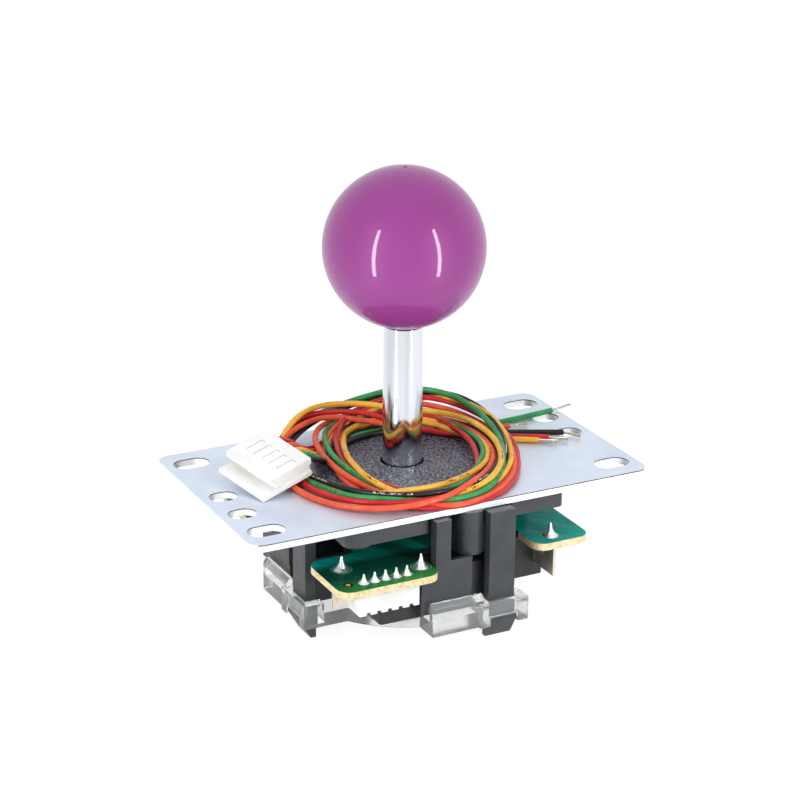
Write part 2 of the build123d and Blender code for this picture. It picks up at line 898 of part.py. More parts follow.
# Harness plug: flange, recessed mating face and a slab with one hooked slit to each way
with BuildPart() as harness_plug:
    with Locations(plug_plane):
        Box(plug_length, plug_width, plug_flange, align=(Align.MIN, Align.MIN, Align.MIN))
    with Locations(plug_plane.offset(plug_flange)):
        with Locations((plug_recess_back, plug_edge)):
            Box(
                plug_length - plug_recess_back,
                plug_width - 2 * plug_edge,
                plug_height - plug_flange - plug_slab / 2,
                align=(Align.MIN, Align.MIN, Align.MIN),
            )
    with BuildSketch(plug_plane.offset(plug_height - plug_slab)):
        with Locations((plug_slab_back, 0)):
            Rectangle(plug_length - plug_slab_back, plug_width, align=(Align.MIN, Align.MIN))
    extrude(amount=plug_slab)
    with Locations(plug_plane.offset(plug_wire_level)):
        for offset_y in way_offsets:
            with Locations((plug_recess_back, plug_width / 2 + offset_y)):
                Box(
                    2 * (plug_cavity_end - plug_recess_back),
                    plug_cavity,
                    plug_cavity,
                    mode=Mode.SUBTRACT,
                )
    with Locations(plug_plane.offset(plug_height)):
        for offset_y in way_offsets:
            with Locations((plug_slab_back + plug_slit_start, plug_width / 2 + offset_y)):
                Box(
                    plug_slit_length,
                    plug_slit_width,
                    2 * plug_slit_depth,
                    align=(Align.MIN, Align.CENTER, Align.CENTER),
                    mode=Mode.SUBTRACT,
                )
            slit_end = plug_slab_back + plug_slit_start + plug_slit_length
            with Locations((slit_end, plug_width / 2 + offset_y + plug_slit_width / 2)):
                Box(
                    plug_slit_width,
                    plug_slit_hook,
                    2 * plug_slit_depth,
                    align=(Align.MIN, Align.MAX, Align.CENTER),
                    mode=Mode.SUBTRACT,
                )
harness_plug.part.label = "harness_plug"
export_step(harness_plug.part, "parts/harness_plug.step")


# Crimp contacts on the floors of the plug's cavities
with BuildPart() as plug_contacts:
    with Locations(plug_plane.offset(plug_wire_level - plug_cavity / 2)):
        for offset_y in way_offsets:
            with Locations((plug_cavity_end, plug_width / 2 + offset_y)):
                Box(
                    contact_length,
                    contact_size,
                    contact_size,
                    align=(Align.MAX, Align.CENTER, Align.MIN),
                )
plug_contacts.part.label = "plug_contacts"
export_step(plug_contacts.part, "parts/plug_contacts.step")


# Harness coil: the outer shape of the loose turns, lower at the front and right, with room for the plug
with BuildPart() as harness_coil:
    with BuildSketch(Plane.XY.offset(coil_lift)):
        with Locations(coil_centre):
            Circle(coil_radius)
        Circle(washer_radius + coil_washer_gap, mode=Mode.SUBTRACT)
    extrude(amount=2 * coil_top)
    with BuildSketch(Plane.XY.offset(washer_thickness + coil_lift)):
        Circle(washer_radius + coil_washer_gap)
        with Locations(coil_hole_centre):
            Ellipse(*coil_hole_radii, mode=Mode.SUBTRACT)
    extrude(amount=2 * coil_top - washer_thickness)
    split(
        bisect_by=Plane(origin=(0, 0, coil_top), z_dir=(-coil_slope_x, -coil_slope_y, 1)),
        keep=Keep.BOTTOM,
    )
    with Locations(plug_plane):
        with Locations((plug_length + lead_length, -plug_room)):
            Box(
                2 * plug_length,
                plug_width + 2 * plug_room,
                4 * plug_height,
                align=(Align.MAX, Align.MIN, Align.MIN),
                mode=Mode.SUBTRACT,
            )
harness_coil.part.label = "harness_coil"
export_step(harness_coil.part, "parts/harness_coil.step")


# Wire leads: from the plug's back face to the coil
for colour, offset_y in zip(wire_colours, way_offsets):
    with BuildPart() as wire_lead:
        with Locations(plug_plane.offset(plug_wire_level)):
            with Locations(Location((plug_length, plug_width / 2 + offset_y, 0), (0, 90, 0))):
                Cylinder(
                    wire_diameter / 2,
                    lead_length,
                    align=(Align.CENTER, Align.CENTER, Align.MIN),
                )
    wire_lead.part.label = f"wire_lead_{colour}"
    export_step(wire_lead.part, f"parts/wire_lead_{colour}.step")


# Wire tails and their bare strands: each bend is as wide as its two runs allow
def bend_radii(points):
    radii = []
    for before, corner, after in zip(points, points[1:], points[2:]):
        incoming = corner - before
        outgoing = after - corner
        half_turn = radians(incoming.get_angle(outgoing) / 2)
        radii.append(0.45 * min(incoming.length, outgoing.length) / tan(half_turn))
    return radii


for colour in wire_colours:
    route = [Vector(x, y, tail_height) for x, y in tail_routes[colour]]
    radii = bend_radii(route)
    with BuildPart() as wire_tail:
        with BuildLine() as tail_line:
            FilletPolyline(*route, radius=radii)
        with BuildSketch(Plane(origin=route[0], z_dir=route[1] - route[0])):
            Circle(wire_diameter / 2)
        sweep(path=tail_line.line)
    wire_tail.part.label = f"wire_tail_{colour}"
    export_step(wire_tail.part, f"parts/wire_tail_{colour}.step")
    section = pi * wire_diameter**2 / 4
    print(
        f"wire_tail_{colour}: bend radii {[round(r, 1) for r in radii]}, volume",
        f"{wire_tail.part.volume:.3f} of {section * tail_line.wires()[0].length:.3f}",
    )
    tip = Vector(*strand_tips[colour], tail_height)
    with BuildPart() as bare_strand:
        with BuildSketch(Plane(origin=route[-1], z_dir=tip - route[-1])):
            Circle(strand_diameter / 2)
        extrude(amount=(tip - route[-1]).length)
    bare_strand.part.label = f"bare_strand_{colour}"
    export_step(bare_strand.part, f"parts/bare_strand_{colour}.step")
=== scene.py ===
import json
import math

import bmesh
import bpy
from mathutils import Matrix, Vector


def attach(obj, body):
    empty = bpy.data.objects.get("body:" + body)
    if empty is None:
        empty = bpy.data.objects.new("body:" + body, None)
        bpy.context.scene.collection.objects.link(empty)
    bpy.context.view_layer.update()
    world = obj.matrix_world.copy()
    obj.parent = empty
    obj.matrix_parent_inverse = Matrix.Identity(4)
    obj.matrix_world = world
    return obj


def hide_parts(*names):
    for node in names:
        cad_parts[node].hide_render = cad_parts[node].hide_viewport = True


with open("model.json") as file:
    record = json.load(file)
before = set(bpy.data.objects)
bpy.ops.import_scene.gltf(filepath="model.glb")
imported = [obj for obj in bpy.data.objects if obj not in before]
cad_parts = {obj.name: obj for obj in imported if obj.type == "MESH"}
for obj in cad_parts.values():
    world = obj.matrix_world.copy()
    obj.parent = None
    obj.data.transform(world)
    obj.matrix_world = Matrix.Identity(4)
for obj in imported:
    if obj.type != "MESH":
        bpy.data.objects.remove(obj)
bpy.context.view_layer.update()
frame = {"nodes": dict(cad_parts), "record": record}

# Arcade joystick lever, in metres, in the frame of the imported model: the mounting plate's top face is
# z = 0, the lever stands along Z through the origin and the front is -Y. Sizes below are in millimetres,
# angles in degrees, colours in sRGB from 0 to 255.
MM = 0.001
record = frame["record"]
body_of_node = {n: b for b, nodes in record["behaviour"]["bodies"].items() for n in nodes}
slot_of_node = {s["node"]: s["material_slot"] for s in record["subparts"]}

# Camera, as fitted to the photograph
CAMERA_AZIMUTH = -27.457
CAMERA_ELEVATION = 20.775
CAMERA_DISTANCE = 491.13
CAMERA_TARGET = (-0.52, 0.27, 14.78)
CAMERA_ROLL = 0.57
CAMERA_LENS = 101.81
CAMERA_SENSOR = 36.0
CAMERA_NEAR = 10.0

# Lever
BALL_RADIUS = 17.5
BALL_SEAT_HEIGHT = 32.5
BALL_SEAT_RADIUS = 4.6
BALL_SOCKET_RADIUS = 4.25
BALL_SOCKET_TOP = 45.1
BALL_STEPS = 72
BALL_SEGMENTS = 144
# Moulding mark at the ball's top: a shallow dish with a steeper rim
BALL_MARK_RADIUS = 0.6
BALL_MARK_DEPTH = 0.25
BALL_MARK_DISH_RADIUS = 0.48
BALL_MARK_RIM_DEPTH = 0.175

# Mounting plate: half its length, the border at each end that has no painted shade line, and the height of
# that line
PLATE_HALF_LENGTH = 47.5
PLATE_BORDER = 1.5
PLATE_SHADE_LINE_HEIGHT = 0.24

# Board: its top face, how far from the middle its sawn edges carry painted shade before they turn pale, and
# the tracks under its mask
BOARD_TOP = -12.0
BOARD_SHADED_CORE = 20.0
TRACK_SCALE = 70.0
TRACK_WANDER = 2.5
TRACK_START = 0.70
TRACK_END = 0.78
# Large solder joints of one tab, from the board's middle
OPEN_PIN = (-9.1, -26.5)
COMMON_PIN = (-24.7, -23.5)
FRONT_COMMON_PIN = (-24.7, -20.5)
# Front tab: the reach of its copper, and the shares of that reach where painted shade on the board starts
# and is full, and where copper starts
POUR_REACH = 32.0
PAINTED_SHADE_START = 0.52
PAINTED_SHADE_END = 0.6
POUR_START = 0.78
# Rings of bare copper: a thin one round each large joint, and a raised one round the via
PAD_RING_RADIUS = 2.15
PAD_RING_HALF_WIDTH = 0.14
VIA_PLACE = (-26.8, -28.0)
VIA_RADIUS = 0.5
VIA_RING_RADIUS = 1.05
VIA_SEGMENTS = 40
FOIL_THICKNESS = 0.04

# Wires, as curves, and the print on their insulation. Lines of strokes repeat along each printed wire: half
# the spacing and half the length of a line are shares of the wire's length, half its width is a share of
# the way round.
WIRE_DIAMETER = 1.3
WIRE_ROUNDNESS = 4
WIRE_SPLINE_ORDER = 3
WIRE_SPLINE_STEPS = 6
PRINT_HALF_SPACING = 0.02
PRINT_HALF_LENGTH = 0.008
PRINT_HALF_WIDTH = 0.05
STROKE_SIZE = 0.4
STROKE_LEVEL = 0.5
# Bare ends: a bundle three strands thick that opens a little at its tip. The lay is the length of one
# twist, the reach is the share of the way to the tip.
STRAND_DIAMETER = 0.6
STRANDS_ACROSS = 3
STRANDS_AROUND = 6
STRAND_LAY = 3.2
STRAND_REACH = 0.97
STRAND_OPENING = 0.5
STRAND_STEPS = 28
STRAND_SIDES = 6
STRAND_SMOOTH_ANGLE = 60.0

# Coil's middle, the plug's place and size, the height of the free ends and the wires' order in the plug
COIL_CENTRE = (-1.4, -1.2)
POINTS_PER_TURN = 16
PLUG_CORNER = (-36.2, -6.7, 0.05)
PLUG_TURN = 14.0
PLUG_RISE = 12.0
PLUG_BANK = 9.0
PLUG_LENGTH = 13.5
PLUG_WIDTH = 15.0
PLUG_WIRE_LEVEL = 1.95
PITCH = 2.5
TAIL_HEIGHT = 0.75
PLUG_ORDER = ["black", "green", "yellow", "orange", "red"]

# How each wire is laid, turn by turn, clockwise from the back left: angle about the coil's centre, radius
# and height. The last row of each runs over the back to the free end.
COILS = {
    "black": [
        [(135, 14.5, 1.7), (90, 15.5, 1.7), (45, 18.2, 1.7), (0, 21.4, 2.1), (-45, 21.8, 0.8),
         (-90, 22.2, 0.8), (-135, 18.4, 1.6), (-180, 13.9, 1.7)],
        [(135, 15.6, 1.9), (95, 20.4, 3.2), (60, 21.6, 3.6), (0, 22.0, 3.2), (-45, 21.6, 2.6),
         (-94, 22.7, 2.8), (-131, 23.2, 3.0), (-153, 21.6, 2.6), (-180, 20.9, 1.6)],
        [(150, 24.2, 1.0), (120, 26.6, 2.0), (90, 27.0, 4.4), (60, 27.8, 6.6), (34, 28.1, 7.5),
         (-2, 24.4, 4.6), (-50, 22.2, 1.8), (-90, 22.6, 1.2), (-130, 17.4, 1.7), (-163, 13.4, 1.8)],
        [(140, 13.0, 1.8), (95, 17.6, 1.8), (60, 20.6, 1.8), (36, 22.4, 1.7)],
    ],
    "green": [
        [(135, 15.6, 1.7), (90, 16.6, 1.7), (45, 19.6, 1.7), (0, 22.8, 2.1), (-45, 23.2, 0.8),
         (-90, 23.8, 0.8), (-134, 16.9, 2.0), (-163, 14.3, 3.0)],
        [(158, 14.7, 3.4), (125, 18.3, 3.4), (105, 22.8, 2.8), (70, 23.4, 3.8), (25, 20.6, 3.2),
         (-23, 18.5, 2.8), (-46, 17.3, 2.4), (-90, 21.6, 2.3), (-133, 23.9, 2.2), (-180, 21.9, 0.8)],
        [(150, 25.6, 1.0), (118, 27.8, 2.8), (81, 27.3, 6.0), (51, 27.6, 8.5), (19, 24.7, 6.5),
         (-20, 22.4, 4.0), (-50, 23.4, 2.4), (-85, 25.8, 1.6), (-134, 18.0, 1.6), (-180, 13.0, 1.7)],
        [(135, 16.2, 1.7), (95, 22.0, 2.0), (60, 25.2, 1.9)],
    ],
    "yellow": [
        [(135, 16.7, 1.7), (90, 21.0, 3.6), (50, 27.0, 6.4), (20, 26.4, 6.6), (4, 25.4, 5.4),
         (-24, 24.6, 2.6), (-41, 24.0, 1.9), (-90, 23.4, 0.8), (-135, 18.0, 1.6), (-180, 12.6, 1.7)],
        [(135, 14.0, 1.9), (93, 19.3, 3.0), (60, 20.6, 3.2), (10, 20.2, 3.0), (-45, 19.1, 3.0),
         (-71, 18.6, 3.0), (-98, 20.8, 3.4), (-118, 22.0, 3.4), (-140, 22.2, 1.9), (-180, 22.2, 0.8)],
        [(130, 28.0, 3.0), (114, 28.1, 6.0), (98, 25.6, 7.5), (90, 22.0, 7.5), (75, 19.2, 6.2),
         (46, 19.1, 6.0), (29, 21.3, 5.5), (-18, 21.5, 4.4), (-42, 22.8, 3.9), (-70, 24.0, 2.6),
         (-100, 22.4, 1.3), (-126, 19.6, 2.8), (-141, 16.4, 3.5), (-161, 13.2, 3.8), (-180, 11.9, 3.8)],
        [(153, 11.6, 3.7), (121, 14.2, 3.5), (93, 19.3, 2.8), (48, 20.2, 3.0), (32, 18.2, 3.1),
         (18, 18.6, 2.4)],
    ],
    "orange": [
        [(135, 17.8, 1.7), (90, 18.8, 1.7), (45, 21.2, 1.7), (0, 24.2, 2.1), (-45, 24.6, 0.8),
         (-90, 25.2, 0.8), (-135, 20.4, 0.9), (-180, 14.6, 1.7)],
        [(135, 17.2, 2.0), (90, 22.4, 4.4), (62, 25.0, 5.6), (38, 25.2, 4.8), (5, 25.0, 3.0),
         (-45, 25.4, 1.2), (-82, 26.8, 1.0), (-100, 26.0, 1.0), (-140, 17.7, 2.0), (-180, 15.8, 3.0)],
        [(143, 18.0, 3.6), (125, 21.1, 3.4), (105, 24.6, 2.8), (70, 24.0, 3.8), (20, 20.8, 3.4),
         (-45, 20.7, 3.0), (-72, 21.8, 3.0), (-99, 25.5, 2.4), (-135, 27.1, 1.0), (-178, 26.4, 0.8)],
        [(131, 26.9, 3.0), (107, 25.2, 4.6), (97, 22.7, 4.6), (88, 18.8, 4.4), (78, 14.6, 4.0),
         (58, 15.6, 2.8), (38, 18.4, 1.7)],
    ],
    "red": [
        [(135, 19.0, 1.7), (90, 20.0, 1.7), (45, 22.6, 1.7), (0, 25.8, 2.1), (-45, 26.0, 0.8),
         (-90, 26.6, 0.8), (-135, 21.0, 0.9), (-180, 11.8, 1.7)],
        [(135, 13.2, 2.0), (90, 23.0, 5.0), (50, 26.2, 6.8), (0, 27.4, 2.4), (-20, 26.2, 1.4),
         (-59, 24.3, 0.9), (-90, 23.6, 0.9), (-124, 16.3, 2.0), (-153, 13.6, 2.4)],
        [(164, 12.5, 2.5), (129, 15.0, 3.2), (103, 20.5, 2.8), (74, 23.2, 4.4), (48, 22.0, 3.6),
         (17, 18.5, 3.2), (-10, 17.0, 3.0), (-32, 16.9, 2.4), (-60, 19.0, 1.9), (-90, 22.8, 1.9),
         (-133, 25.0, 1.6), (-179, 23.6, 0.8)],
        [(131, 27.8, 3.0), (112, 28.6, 4.6), (99, 25.0, 6.0), (89, 20.0, 6.0), (77, 16.1, 5.0),
         (57, 16.4, 3.2), (36, 17.4, 1.7), (20, 19.4, 1.6)],
    ],
}
# Leads from the plug to the coil: a straight start, then a dip
LEAD_STRAIGHT = 2.6
LEAD_SPREAD = 0.4
LEAD_DIP_X = -18.0
LEAD_DIP_HEIGHT = 2.4
LEAD_DRIFT = 2.4
# Free ends: each wire's tail and the tip of its bare strands
TAILS = {
    "black": [(23.5, 6.4), (31.5, 3.1), (40.4, -1.4)],
    "green": [(22.0, 10.6), (33.0, 10.2), (45.0, 11.7)],
    "yellow": [(23.0, 1.9), (28.0, 0.2), (33.0, -3.0)],
    "orange": [(22.5, 8.5), (27.4, 8.0), (31.3, 7.5)],
    "red": [(23.5, 3.8), (30.5, 0.9), (35.9, -2.6)],
}
STRAND_TIPS = {
    "black": (42.8, -4.9),
    "green": (51.3, 13.2),
    "yellow": (36.5, -5.4),
    "orange": (36.1, 7.3),
    "red": (39.4, -5.3),
}

# Rigid nodes that are shown by copies with softened edges, and the width of that softening; where it is 0
# the copy only has smooth round faces
EDGES = {
    "mounting_plate": 0.14,
    "dust_washer": 0.15,
    "shaft": 0.0,
    "housing": 0.16,
    "restrictor_gate": 0.22,
    "header_housing": 0.14,
    "harness_plug": 0.16,
    "solder_joints": 0.0,
}
SMOOTH_ANGLE = 42.0
MERGE_DISTANCE = 0.002
FLAT_ANGLE = 0.5
BEVEL_ANGLE = 35.0
BEVEL_SEGMENTS = 2

# Studio
FLOOR_HEIGHT = -31.05
FLOOR_SIZE = 4000.0
FLOOR_GLOW = 0.9
FLOOR_SHADE = (132, 132, 132)
WHITE = (255, 255, 255)
WORLD_LIGHT = 0.48
WORLD_SEEN = 1.0
STRIP_LEFT_AZIMUTH = -67.5
STRIP_RIGHT_AZIMUTH = 19.5
STRIP_POWER = 0.18
STRIP_DISTANCE = 170.0
STRIP_WIDTH = 15.0
STRIP_LOW = -26.0
STRIP_HIGH = 166.0
ABOVE_PLACE = (-60.0, -80.0, 620.0)
ABOVE_SIZE = 500.0
ABOVE_POWER = 1.3


def tone(red, green, blue):
    """Linear colour of an sRGB one from 0 to 255."""
    channels = []
    for c in (red, green, blue):
        c = c / 255
        channels.append(c / 12.92 if c <= 0.04045 else ((c + 0.055) / 1.055) ** 2.4)
    return (*channels, 1.0)


def link(obj):
    """Put an object into the scene."""
    bpy.context.scene.collection.objects.link(obj)
    return obj


# Camera
def add_camera():
    azimuth, elevation = math.radians(CAMERA_AZIMUTH), math.radians(CAMERA_ELEVATION)
    back = Vector((
        math.sin(azimuth) * math.cos(elevation),
        -math.cos(azimuth) * math.cos(elevation),
        math.sin(elevation),
    ))
    right = Vector((math.cos(azimuth), math.sin(azimuth), 0))
    axes = Matrix((right, back.cross(right), back)).transposed()
    camera = bpy.data.cameras.new("camera")
    camera.lens = CAMERA_LENS
    camera.sensor_width = CAMERA_SENSOR
    camera.clip_start = CAMERA_NEAR * MM
    obj = link(bpy.data.objects.new("camera", camera))
    roll = Matrix.Rotation(math.radians(CAMERA_ROLL), 3, "Z")
    place = (Vector(CAMERA_TARGET) + back * CAMERA_DISTANCE) * MM
    obj.matrix_world = Matrix.Translation(place) @ (axes @ roll).to_4x4()
    bpy.context.scene.camera = obj


add_camera()


# Materials
class Surface:
    """A material with a Principled shader and helpers that add texture nodes in object space."""

    def __init__(self, name, metallic=0.0):
        self.slot = name
        self.material = bpy.data.materials.new(f"{name}_finish")
        self.material.use_nodes = True
        self.tree = self.material.node_tree
        self.shader = self.tree.nodes["Principled BSDF"]
        self.set("Metallic", metallic)
        self.coordinates = self.node("ShaderNodeTexCoord").outputs
        self.place = self.coordinates["Object"]

    def node(self, kind, **settings):
        new = self.tree.nodes.new(kind)
        for key, value in settings.items():
            setattr(new, key, value)
        return new

    def set(self, socket, value):
        self.shader.inputs[socket].default_value = value

    def join(self, output, socket):
        self.tree.links.new(output, socket)

    def parts(self, vector):
        """The X, Y and Z parts of a vector."""
        split = self.node("ShaderNodeSeparateXYZ")
        self.join(vector, split.inputs[0])
        return split.outputs

    def upright(self):
        """Factor that is 1 on faces that stand upright."""
        level = self.math("ABSOLUTE", self.parts(self.coordinates["Normal"])["Z"])
        return self.math("LESS_THAN", level, 0.5)

    def stretched(self, factors):
        """Object space scaled along its axes, for streaks."""
        mapping = self.node("ShaderNodeMapping")
        mapping.inputs["Scale"].default_value = factors
        self.join(self.place, mapping.inputs["Vector"])
        return mapping.outputs["Vector"]

    def noise(self, size, detail=3.0, place=None):
        """Noise whose features are about size millimetres."""
        texture = self.node("ShaderNodeTexNoise")
        texture.inputs["Scale"].default_value = 1 / (size * MM)
        texture.inputs["Detail"].default_value = detail
        self.join(place or self.place, texture.inputs["Vector"])
        return texture.outputs["Fac"]

    def cells(self, size):
        """Distance from the edges of cells that are about size millimetres wide."""
        texture = self.node("ShaderNodeTexVoronoi", feature="DISTANCE_TO_EDGE")
        texture.inputs["Scale"].default_value = 1 / (size * MM)
        self.join(self.place, texture.inputs["Vector"])
        return texture.outputs["Distance"]

    def ramp(self, factor, *stops):
        """Colours or grey levels blended along a factor; each stop is (position, sRGB colour or level)."""
        ramp = self.node("ShaderNodeValToRGB")
        elements = ramp.color_ramp.elements
        while len(elements) < len(stops):
            elements.new(0.5)
        for element, (position, value) in zip(elements, stops):
            element.position = position
            element.color = tone(*value) if isinstance(value, tuple) else (value, value, value, 1)
        self.join(factor, ramp.inputs["Fac"])
        return ramp.outputs["Color"]

    def blend(self, factor, dark, light, spread=0.15):
        """Two colours or levels blended over the middle of a factor, spread to each side of its half."""
        return self.ramp(factor, (0.5 - spread, dark), (0.5 + spread, light))

    def mix(self, factor, first, second):
        """The first colour where the factor is 0 and the second where it is 1."""
        mix = self.node("ShaderNodeMix", data_type="RGBA")
        self.join(factor, mix.inputs["Factor"])
        self.join(first, mix.inputs["A"])
        self.join(second, mix.inputs["B"])
        return mix.outputs["Result"]

    def math(self, operation, *values):
        """Result of an operation on numbers and outputs."""
        node = self.node("ShaderNodeMath", operation=operation)
        for socket, value in zip(node.inputs, values):
            if isinstance(value, (int, float)):
                socket.default_value = value
            else:
                self.join(value, socket)
        return node.outputs[0]

    def colour(self, output):
        self.join(output, self.shader.inputs["Base Color"])

    def rough(self, factor, low, high):
        self.join(self.blend(factor, low, high, spread=0.2), self.shader.inputs["Roughness"])

    def bump(self, height, depth):
        """Relief whose full height is depth millimetres."""
        bump = self.node("ShaderNodeBump")
        bump.inputs["Strength"].default_value = 1.0
        bump.inputs["Distance"].default_value = depth * MM
        self.join(height, bump.inputs["Height"])
        self.join(bump.outputs["Normal"], self.shader.inputs["Normal"])


def moulded(name, dark, light, roughness):
    """Moulded plastic: a slight change of colour and gloss, and a fine grain."""
    surface = Surface(name)
    surface.colour(surface.blend(surface.noise(6.0), dark, light))
    surface.rough(surface.noise(2.5), roughness - 0.05, roughness + 0.07)
    surface.bump(surface.noise(0.35), 0.01)
    return surface


def metal(name, dark, light, roughness, streak=None, depth=0.006, metallic=1.0):
    """Metal with clouded brightness, or with streaks along one direction."""
    surface = Surface(name, metallic)
    place = surface.stretched(streak) if streak else None
    surface.colour(surface.blend(surface.noise(3.0, place=place), dark, light, spread=0.18))
    surface.rough(surface.noise(1.6, place=place), roughness - 0.04, roughness + 0.08)
    surface.bump(surface.noise(0.5, place=place), depth)
    return surface


def ball_purple(name):
    """Dyed plastic under a polished skin."""
    surface = Surface(name)
    surface.set("Roughness", 0.45)
    surface.set("Specular IOR Level", 0.25)
    surface.set("Coat Weight", 0.65)
    surface.set("Coat Roughness", 0.05)
    surface.colour(surface.blend(surface.noise(22.0, 1.0), (136, 44, 126), (146, 53, 136), spread=0.2))
    surface.bump(surface.noise(1.4, 1.0), 0.004)
    return surface


def washer_black(name):
    """Black pebbled sheet with a fine grain, whose crests carry a painted sheen of light bluish grey."""
    surface = Surface(name)
    surface.set("Specular IOR Level", 0.6)
    pebbles = surface.math("MINIMUM", surface.cells(1.2), 0.3)
    fine = surface.noise(0.5, 1.5)
    # Painted sheen: where the fine grain rises, the black sheet is painted a light bluish grey
    surface.colour(surface.ramp(fine, (0.42, (16, 18, 24)), (0.6, (124, 131, 150))))
    surface.rough(surface.noise(0.8), 0.22, 0.34)
    surface.bump(surface.math("ADD", pebbles, surface.math("MULTIPLY", fine, 0.3)), 0.45)
    return surface


def pad_places():
    """Centres of the two large solder joints on each of the board's four tabs."""
    places = []
    for quarter in range(4):
        turn = Matrix.Rotation(math.radians(90 * quarter), 2)
        common = COMMON_PIN if quarter else FRONT_COMMON_PIN
        places += [turn @ Vector(OPEN_PIN), turn @ Vector(common)]
    return places


def board_green(name):
    """Solder mask with tracks under it and painted shade over the front tab; sawn edges show pale laminate,
    and painted shade makes them dark near the board's middle.
    """
    surface = Surface(name)
    surface.set("Specular IOR Level", 0.06)
    cloud = surface.noise(9.0)
    tracks = surface.node("ShaderNodeTexWave", wave_type="BANDS", bands_direction="DIAGONAL")
    tracks.inputs["Scale"].default_value = TRACK_SCALE
    tracks.inputs["Distortion"].default_value = TRACK_WANDER
    tracks.inputs["Detail"].default_value = 0.0
    surface.join(surface.place, tracks.inputs["Vector"])
    mask = surface.blend(cloud, (0, 136, 124), (4, 158, 146))
    copper = surface.blend(cloud, (14, 144, 122), (28, 166, 144))
    pattern = surface.ramp(tracks.outputs["Fac"], (TRACK_START, 0.0), (TRACK_END, 1.0))
    face = surface.mix(pattern, mask, copper)
    place = surface.parts(surface.place)
    ahead = surface.math("MULTIPLY", place["Y"], -1 / (POUR_REACH * MM))
    ahead = surface.math("MULTIPLY", ahead, surface.math("LESS_THAN", place["X"], 0))
    # Painted shade: the front tab's board is painted dark green across its middle, short of the copper at
    # its edge
    painted_shade_board = surface.blend(cloud, (8, 66, 54), (14, 80, 66))
    face = surface.mix(surface.ramp(ahead, (PAINTED_SHADE_START, 0.0), (PAINTED_SHADE_END, 1.0)), face, painted_shade_board)
    pour = surface.blend(cloud, (40, 116, 52), (64, 142, 66))
    face = surface.mix(surface.ramp(ahead, (POUR_START, 0.0), (1.0, 1.0)), face, pour)
    bare_copper = surface.blend(cloud, (66, 150, 96), (88, 172, 118))
    for spot in pad_places():
        away = surface.node("ShaderNodeVectorMath", operation="DISTANCE")
        away.inputs[1].default_value = (spot.x * MM, spot.y * MM, BOARD_TOP * MM)
        surface.join(surface.place, away.inputs[0])
        apart = away.outputs["Value"]
        ring = surface.math("COMPARE", apart, PAD_RING_RADIUS * MM, PAD_RING_HALF_WIDTH * MM)
        face = surface.mix(ring, face, bare_copper)
    fibres = surface.noise(0.7)
    pale = surface.blend(fibres, (214, 190, 140), (240, 224, 186))
    # Painted shade: within the board's middle its sawn edges get this near-black colour instead of pale
    # laminate
    dark = surface.blend(fibres, (18, 30, 24), (30, 44, 36))
    across = surface.math("ABSOLUTE", place["X"])
    along = surface.math("ABSOLUTE", place["Y"])
    outside = surface.math("GREATER_THAN", surface.math("MAXIMUM", across, along), BOARD_SHADED_CORE * MM)
    laminate_and_painted_shade = surface.mix(outside, dark, pale)
    surface.colour(surface.mix(surface.upright(), face, laminate_and_painted_shade))
    surface.rough(surface.noise(2.0), 0.16, 0.3)
    surface.bump(pattern, 0.03)
    return surface


def gate_clear(name):
    """Clear moulding, slightly uneven."""
    surface = Surface(name)
    surface.set("Transmission Weight", 0.92)
    surface.set("IOR", 1.32)
    surface.colour(surface.blend(surface.noise(5.0), (247, 249, 249), (253, 254, 254), spread=0.2))
    surface.rough(surface.noise(3.0), 0.06, 0.16)
    surface.bump(surface.noise(1.8, 1.0), 0.01)
    return surface


def zinc_plate(name):
    """Zinc-plated sheet, faintly clouded, with a painted highlight making its upright cut faces near white
    and a painted shade line along their tops.
    """
    surface = Surface(name, metallic=0.6)
    face = surface.blend(surface.noise(14.0), (208, 220, 236), (219, 229, 242))
    # Painted highlight: upright faces get this near-white colour
    edge = surface.blend(surface.noise(2.0), (238, 241, 245), (250, 251, 252))
    upright = surface.upright()
    place = surface.parts(surface.place)
    across = surface.math("ABSOLUTE", place["X"])
    # Painted shade: a dark line along the top of the upright faces, except near the plate's two ends
    within_ends = surface.math("LESS_THAN", across, (PLATE_HALF_LENGTH - PLATE_BORDER) * MM)
    high = surface.math("GREATER_THAN", place["Z"], -PLATE_SHADE_LINE_HEIGHT * MM)
    rim = surface.math("MULTIPLY", upright, surface.math("MULTIPLY", within_ends, high))
    painted_shade_line = surface.blend(surface.noise(1.5), (30, 34, 38), (84, 90, 96))
    surface.colour(surface.mix(rim, surface.mix(upright, face, edge), painted_shade_line))
    surface.rough(surface.noise(5.0), 0.34, 0.46)
    surface.bump(surface.noise(0.6), 0.003)
    return surface


def wire(name, dark, light, ink=None):
    """Insulation with a slight sheen and, where ink is given, a line of broken strokes along one side."""
    surface = Surface(name)
    surface.set("Specular IOR Level", 0.32)
    colour = surface.blend(surface.noise(4.0), dark, light, spread=0.2)
    if ink:
        run = surface.parts(surface.coordinates["UV"])
        strokes = surface.math("GREATER_THAN", surface.noise(STROKE_SIZE, 0.0), STROKE_LEVEL)
        along = surface.math("PINGPONG", run["X"], PRINT_HALF_SPACING)
        around = surface.math("PINGPONG", run["Y"], 0.5)
        spaced = surface.math("LESS_THAN", along, PRINT_HALF_LENGTH)
        side = surface.math("LESS_THAN", around, PRINT_HALF_WIDTH)
        printed = surface.math("MULTIPLY", strokes, surface.math("MULTIPLY", spaced, side))
        worn = surface.ramp(surface.noise(2.0), (0.45, ink), (0.85, light))
        colour = surface.mix(printed, colour, worn)
    surface.colour(colour)
    surface.rough(surface.noise(1.2), 0.26, 0.4)
    surface.bump(surface.noise(0.6), 0.008)
    return surface


